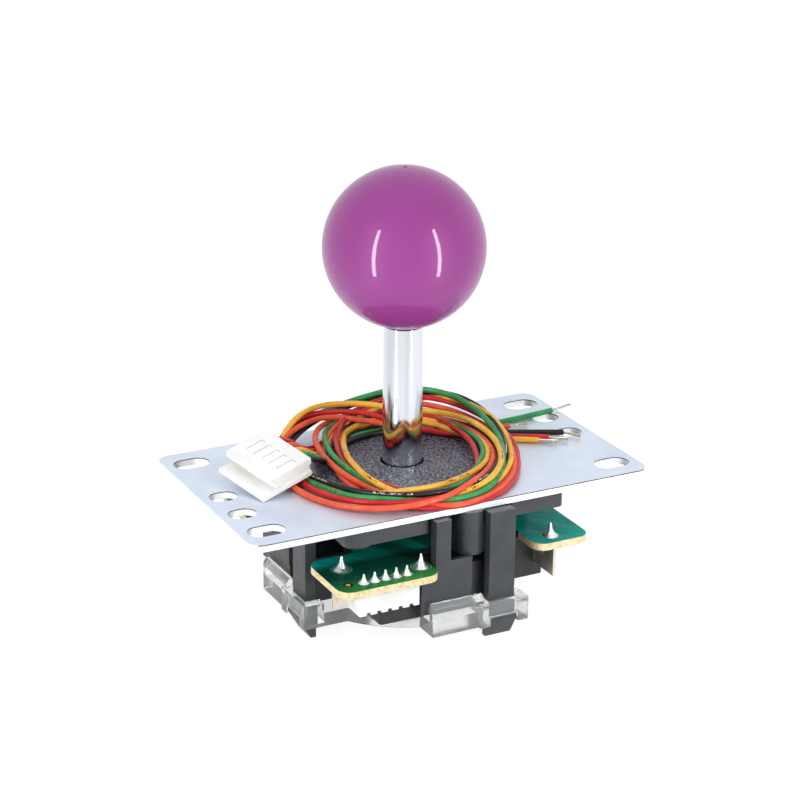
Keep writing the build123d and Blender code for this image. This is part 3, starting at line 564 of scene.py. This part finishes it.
finishes = [
    ball_purple("ball_purple"),
    washer_black("washer_black"),
    board_green("board_green"),
    gate_clear("gate_clear"),
    zinc_plate("zinc"),
    metal("steel", (176, 178, 182), (206, 208, 211), 0.3),
    metal("chrome", (206, 210, 218), (240, 242, 246), 0.08, streak=(1.0, 1.0, 0.02), depth=0.0002),
    metal("brass", (176, 138, 66), (214, 180, 104), 0.26),
    metal("tin", (206, 196, 178), (234, 226, 212), 0.34, metallic=0.8),
    metal("solder", (206, 207, 210), (244, 245, 246), 0.26, depth=0.03, metallic=0.85),
    metal("strand_tin", (196, 178, 158), (232, 222, 208), 0.3),
    moulded("housing_black", (46, 49, 53), (57, 61, 65), 0.4),
    moulded("switch_black", (24, 25, 28), (36, 37, 40), 0.36),
    moulded("bearing_black", (20, 20, 22), (32, 32, 34), 0.34),
    moulded("actuator_black", (22, 22, 24), (34, 34, 36), 0.38),
    moulded("connector_white", (232, 232, 229), (244, 244, 242), 0.45),
    moulded("plunger_red", (130, 24, 22), (158, 34, 30), 0.4),
    wire("wire_black", (14, 13, 15), (26, 25, 27), ink=(206, 206, 202)),
    wire("wire_green", (34, 128, 66), (56, 160, 92), ink=(4, 22, 12)),
    wire("wire_yellow", (226, 160, 44), (244, 190, 78), ink=(36, 22, 8)),
    wire("wire_orange", (212, 72, 44), (230, 98, 66)),
    wire("wire_red", (176, 28, 34), (204, 46, 50)),
    wire("wire_mixed", (150, 70, 40), (170, 90, 50)),
]
materials = {surface.slot: surface.material for surface in finishes}
for node, obj in frame["nodes"].items():
    obj.data.materials.clear()
    obj.data.materials.append(materials[slot_of_node[node]])


def finish_piece(obj, slot, *nodes, body=None):
    """Give a piece its material, its body and the nodes that it stands for."""
    obj.data.materials.clear()
    obj.data.materials.append(materials[slot])
    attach(obj, body or body_of_node[nodes[0]])
    if nodes:
        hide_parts(*nodes)
    return obj


# Rigid pieces: copies of the nodes with softened edges and smooth round faces
def smooth(mesh, angle):
    """Shade smooth, except across edges sharper than an angle."""
    for polygon in mesh.polygons:
        polygon.use_smooth = True
    mesh.set_sharp_from_angle(angle=math.radians(angle))


def add_softened(node, width):
    """Show a node by a softened copy. Its stored normals go, since they don't fit the merged vertices."""
    mesh = frame["nodes"][node].data.copy()
    if mesh.has_custom_normals:
        mesh.attributes.remove(mesh.attributes["custom_normal"])
    shape = bmesh.new()
    shape.from_mesh(mesh)
    bmesh.ops.remove_doubles(shape, verts=shape.verts, dist=MERGE_DISTANCE * MM)
    if width:
        flat = math.radians(FLAT_ANGLE)
        bmesh.ops.dissolve_limit(shape, angle_limit=flat, verts=shape.verts, edges=shape.edges)
    shape.to_mesh(mesh)
    shape.free()
    smooth(mesh, SMOOTH_ANGLE)
    obj = link(bpy.data.objects.new(f"{node}_shown", mesh))
    if width:
        bevel = obj.modifiers.new("softened_edges", "BEVEL")
        bevel.width = width * MM
        bevel.segments = BEVEL_SEGMENTS
        bevel.limit_method = "ANGLE"
        bevel.angle_limit = math.radians(BEVEL_ANGLE)
        bevel.harden_normals = True
    return finish_piece(obj, slot_of_node[node], node)


shown = {node: add_softened(node, width) for node, width in EDGES.items()}


# Ball top and the via's ring: turned shapes
def add_turned(name, profile, segments, closed=False):
    """Solid turned about Z from (radius, height) points; closed joins the last to the first."""
    shape = bmesh.new()
    rings = []
    for radius, height in profile:
        if radius == 0:
            rings.append([shape.verts.new((0, 0, height * MM))])
            continue
        ring = []
        for n in range(segments):
            around = 2 * math.pi * n / segments
            ring.append(shape.verts.new((
                radius * MM * math.cos(around), radius * MM * math.sin(around), height * MM
            )))
        rings.append(ring)
    pairs = list(zip(rings, rings[1:]))
    if closed:
        pairs.append((rings[-1], rings[0]))
    for low, high in pairs:
        for n in range(segments):
            m = (n + 1) % segments
            corners = [low[n % len(low)], low[m % len(low)], high[m % len(high)], high[n % len(high)]]
            corners = [v for i, v in enumerate(corners) if v not in corners[:i]]
            if len(corners) > 2:
                shape.faces.new(corners)
    bmesh.ops.recalc_face_normals(shape, faces=shape.faces)
    mesh = bpy.data.meshes.new(name)
    shape.to_mesh(mesh)
    shape.free()
    smooth(mesh, SMOOTH_ANGLE)
    return link(bpy.data.objects.new(name, mesh))


def add_ball():
    """Ball with its flat seat, the socket for the shaft and the moulding mark."""
    centre = BALL_SEAT_HEIGHT + math.sqrt(BALL_RADIUS**2 - BALL_SEAT_RADIUS**2)
    start = -math.acos(BALL_SEAT_RADIUS / BALL_RADIUS)
    end = math.acos(BALL_MARK_RADIUS / BALL_RADIUS)
    profile = [
        (0, BALL_SOCKET_TOP),
        (BALL_SOCKET_RADIUS, BALL_SOCKET_TOP),
        (BALL_SOCKET_RADIUS, BALL_SEAT_HEIGHT),
    ]
    for n in range(BALL_STEPS + 1):
        angle = start + (end - start) * n / BALL_STEPS
        profile.append((BALL_RADIUS * math.cos(angle), centre + BALL_RADIUS * math.sin(angle)))
    rim = profile[-1][1]
    profile.append((BALL_MARK_DISH_RADIUS, rim - BALL_MARK_RIM_DEPTH))
    profile.append((0, rim - BALL_MARK_DEPTH))
    finish_piece(add_turned("ball", profile, BALL_SEGMENTS), "ball_purple", "ball_top")


def add_via_ring():
    """Ring of foil round the via on the front tab."""
    top = BOARD_TOP + FOIL_THICKNESS
    profile = [
        (VIA_RADIUS, BOARD_TOP), (VIA_RING_RADIUS, BOARD_TOP), (VIA_RING_RADIUS, top), (VIA_RADIUS, top)
    ]
    ring = add_turned("via_ring", profile, VIA_SEGMENTS, closed=True)
    ring.location = (VIA_PLACE[0] * MM, VIA_PLACE[1] * MM, 0)
    finish_piece(ring, "brass", body="base")


add_ball()
add_via_ring()


# Harness wires
plug_pose = (
    Matrix.Translation(PLUG_CORNER)
    @ Matrix.Rotation(math.radians(PLUG_TURN), 4, "Z")
    @ Matrix.Rotation(math.radians(-PLUG_RISE), 4, "Y")
    @ Matrix.Rotation(math.radians(PLUG_BANK), 4, "X")
)


def laid(stations, angle):
    """Radius and height at an angle, on a smooth line through stations of falling angle."""
    i = max(n for n, station in enumerate(stations[:-1]) if station[0] >= angle)
    here, there = stations[i], stations[i + 1]
    before, after = stations[max(i - 1, 0)], stations[min(i + 2, len(stations) - 1)]
    span = there[0] - here[0]
    t = (angle - here[0]) / span
    values = []
    for axis in (1, 2):
        leaving = (there[axis] - before[axis]) / (there[0] - before[0]) * span
        arriving = (after[axis] - here[axis]) / (after[0] - here[0]) * span
        rise = there[axis] - here[axis]
        bend = (leaving + arriving - 2 * rise) * t**3 + (3 * rise - 2 * leaving - arriving) * t**2
        values.append(here[axis] + leaving * t + bend)
    return values


def coil_points(colour):
    """Control points of a wire's turns, set out a little so that the curve keeps the stations' radius."""
    stations = []
    for turn, row in enumerate(COILS[colour]):
        stations += [(angle - 360 * turn, radius, height) for angle, radius, height in row]
    first, last = stations[0][0], stations[-1][0]
    steps = round((first - last) * POINTS_PER_TURN / 360)
    outset = 1 / math.cos(math.pi / POINTS_PER_TURN)
    points = []
    for n in range(steps + 1):
        angle = first + (last - first) * n / steps
        radius, height = laid(stations, angle)
        around = math.radians(angle)
        points.append(Vector((
            COIL_CENTRE[0] + radius * outset * math.cos(around),
            COIL_CENTRE[1] + radius * outset * math.sin(around),
            height,
        )))
    return points


def wire_route(colour):
    """Control points of a wire, from the plug through the coil to its stripped end."""
    way = PLUG_ORDER.index(colour) - len(PLUG_ORDER) // 2
    exit_local = Vector((PLUG_LENGTH, PLUG_WIDTH / 2 + PITCH * way, PLUG_WIRE_LEVEL))
    exit_point = plug_pose @ exit_local
    straight = plug_pose @ (exit_local + Vector((LEAD_STRAIGHT, 0, 0)))
    dip = Vector((LEAD_DIP_X - LEAD_SPREAD * way, straight.y + LEAD_DRIFT, LEAD_DIP_HEIGHT))
    free_end = [Vector((x, y, TAIL_HEIGHT)) for x, y in TAILS[colour]]
    return [exit_point, straight, dip] + coil_points(colour) + free_end


def add_curve(name, points, diameter):
    """Round wire along a smooth line near its control points."""
    curve = bpy.data.curves.new(name, "CURVE")
    curve.dimensions = "3D"
    curve.bevel_depth = diameter / 2 * MM
    curve.bevel_resolution = WIRE_ROUNDNESS
    curve.use_fill_caps = True
    spline = curve.splines.new("NURBS")
    spline.points.add(len(points) - 1)
    for target, point in zip(spline.points, points):
        target.co = (*(point * MM), 1)
    spline.order_u = WIRE_SPLINE_ORDER
    spline.use_endpoint_u = True
    spline.resolution_u = WIRE_SPLINE_STEPS
    return link(bpy.data.objects.new(name, curve))


def add_strands(name, start, tip):
    """Bare end: fine strands laid round a middle one, a little open at the tip."""
    run = (tip - start) * STRAND_REACH
    ahead = run.normalized()
    across = ahead.cross(Vector((0, 0, 1))).normalized()
    up = across.cross(ahead)
    radius = STRAND_DIAMETER / (2 * STRANDS_ACROSS)
    shape = bmesh.new()
    for strand in range(STRANDS_AROUND + 1):
        rings = []
        for n in range(STRAND_STEPS + 1):
            share = n / STRAND_STEPS
            away = 2 * radius * (1 + STRAND_OPENING * share**3) if strand else 0
            turned = 2 * math.pi * (strand / STRANDS_AROUND + share * run.length / STRAND_LAY)
            middle = start + run * share + (across * math.cos(turned) + up * math.sin(turned)) * away
            ring = []
            for side in range(STRAND_SIDES):
                around = 2 * math.pi * side / STRAND_SIDES
                offset = (across * math.cos(around) + up * math.sin(around)) * radius
                ring.append(shape.verts.new((middle + offset) * MM))
            rings.append(ring)
        for low, high in zip(rings, rings[1:]):
            for side in range(STRAND_SIDES):
                other = (side + 1) % STRAND_SIDES
                shape.faces.new((low[side], low[other], high[other], high[side]))
        shape.faces.new(rings[0])
        shape.faces.new(rings[-1])
    bmesh.ops.recalc_face_normals(shape, faces=shape.faces)
    mesh = bpy.data.meshes.new(name)
    shape.to_mesh(mesh)
    shape.free()
    smooth(mesh, STRAND_SMOOTH_ANGLE)
    return link(bpy.data.objects.new(name, mesh))


# The first wire also stands for the coil's closed ring; the plug and its contacts are gathered with it in a
# list that nothing uses
for colour in PLUG_ORDER:
    route = wire_route(colour)
    cord = add_curve(f"wire_{colour}", route, WIRE_DIAMETER)
    strands = add_strands(f"strands_{colour}", route[-1], Vector((*STRAND_TIPS[colour], TAIL_HEIGHT)))
    replaced = [f"wire_lead_{colour}", f"wire_tail_{colour}"]
    on_wire = [strands]
    if colour == PLUG_ORDER[0]:
        replaced.append("harness_coil")
        on_wire += [shown["harness_plug"], frame["nodes"]["plug_contacts"]]
    finish_piece(cord, f"wire_{colour}", *replaced)
    finish_piece(strands, "strand_tin", f"bare_strand_{colour}")


# Studio: a white background, a pale floor, two upright strip lights and a soft light above
def join_paths(tree):
    """Factor that is 1 for rays that see the background: from the camera, mirrored or through glass."""
    rays = tree.nodes.new("ShaderNodeLightPath")
    factor = rays.outputs["Is Camera Ray"]
    for name in ("Is Glossy Ray", "Is Transmission Ray"):
        either = tree.nodes.new("ShaderNodeMath")
        either.operation = "MAXIMUM"
        tree.links.new(factor, either.inputs[0])
        tree.links.new(rays.outputs[name], either.inputs[1])
        factor = either.outputs[0]
    return factor


def add_world():
    """White background that is brighter where it is seen than where it only lights."""
    world = bpy.data.worlds.new("studio")
    bpy.context.scene.world = world
    world.use_nodes = True
    tree = world.node_tree
    lighting = tree.nodes["Background"]
    lighting.inputs["Color"].default_value = tone(*WHITE)
    lighting.inputs["Strength"].default_value = WORLD_LIGHT
    seen = tree.nodes.new("ShaderNodeBackground")
    seen.inputs["Color"].default_value = tone(*WHITE)
    seen.inputs["Strength"].default_value = WORLD_SEEN
    choice = tree.nodes.new("ShaderNodeMixShader")
    tree.links.new(join_paths(tree), choice.inputs["Fac"])
    tree.links.new(lighting.outputs[0], choice.inputs[1])
    tree.links.new(seen.outputs[0], choice.inputs[2])
    tree.links.new(choice.outputs[0], tree.nodes["World Output"].inputs["Surface"])


def add_floor():
    """Floor that glows white where it is seen, with a faint shadow, and reflects light as a pale one."""
    half = FLOOR_SIZE / 2 * MM
    height = FLOOR_HEIGHT * MM
    mesh = bpy.data.meshes.new("floor")
    corners = [(-half, -half, height), (half, -half, height), (half, half, height), (-half, half, height)]
    mesh.from_pydata(corners, [], [(0, 1, 2, 3)])
    floor = link(bpy.data.objects.new("floor", mesh))
    surface = Surface("floor_white")
    surface.set("Roughness", 0.8)
    surface.colour(surface.blend(surface.noise(60.0), (228, 228, 228), (236, 236, 236), spread=0.2))
    glow = surface.node("ShaderNodeEmission")
    glow.inputs["Strength"].default_value = FLOOR_GLOW
    shade = surface.node("ShaderNodeBsdfDiffuse")
    shade.inputs["Color"].default_value = tone(*FLOOR_SHADE)
    seen = surface.node("ShaderNodeAddShader")
    surface.join(glow.outputs[0], seen.inputs[0])
    surface.join(shade.outputs[0], seen.inputs[1])
    choice = surface.node("ShaderNodeMixShader")
    surface.join(join_paths(surface.tree), choice.inputs["Fac"])
    surface.join(surface.shader.outputs[0], choice.inputs[1])
    surface.join(seen.outputs[0], choice.inputs[2])
    surface.join(choice.outputs[0], surface.tree.nodes["Material Output"].inputs["Surface"])
    floor.data.materials.append(surface.material)


def add_area(name, place, target, width, height, power, mirrored=True):
    """Rectangular light that the camera doesn't see, aimed at a target."""
    light = bpy.data.lights.new(name, "AREA")
    light.shape = "RECTANGLE"
    light.size = width * MM
    light.size_y = height * MM
    light.energy = power
    obj = link(bpy.data.objects.new(name, light))
    obj.location = Vector(place) * MM
    obj.rotation_euler = (Vector(target) - Vector(place)).to_track_quat("-Z", "Y").to_euler()
    obj.visible_camera = False
    obj.visible_glossy = mirrored


def add_strip(name, azimuth):
    """Upright strip light, round from the front by an azimuth."""
    around = math.radians(azimuth)
    middle = (STRIP_LOW + STRIP_HIGH) / 2
    place = (STRIP_DISTANCE * math.sin(around), -STRIP_DISTANCE * math.cos(around), middle)
    add_area(name, place, (0, 0, middle), STRIP_WIDTH, STRIP_HIGH - STRIP_LOW, STRIP_POWER)


add_world()
add_floor()
add_strip("strip_left", STRIP_LEFT_AZIMUTH)
add_strip("strip_right", STRIP_RIGHT_AZIMUTH)
add_area("light_above", ABOVE_PLACE, (0, 0, 0), ABOVE_SIZE, ABOVE_SIZE, ABOVE_POWER, mirrored=False)
bpy.context.scene.view_settings.view_transform = "Standard"
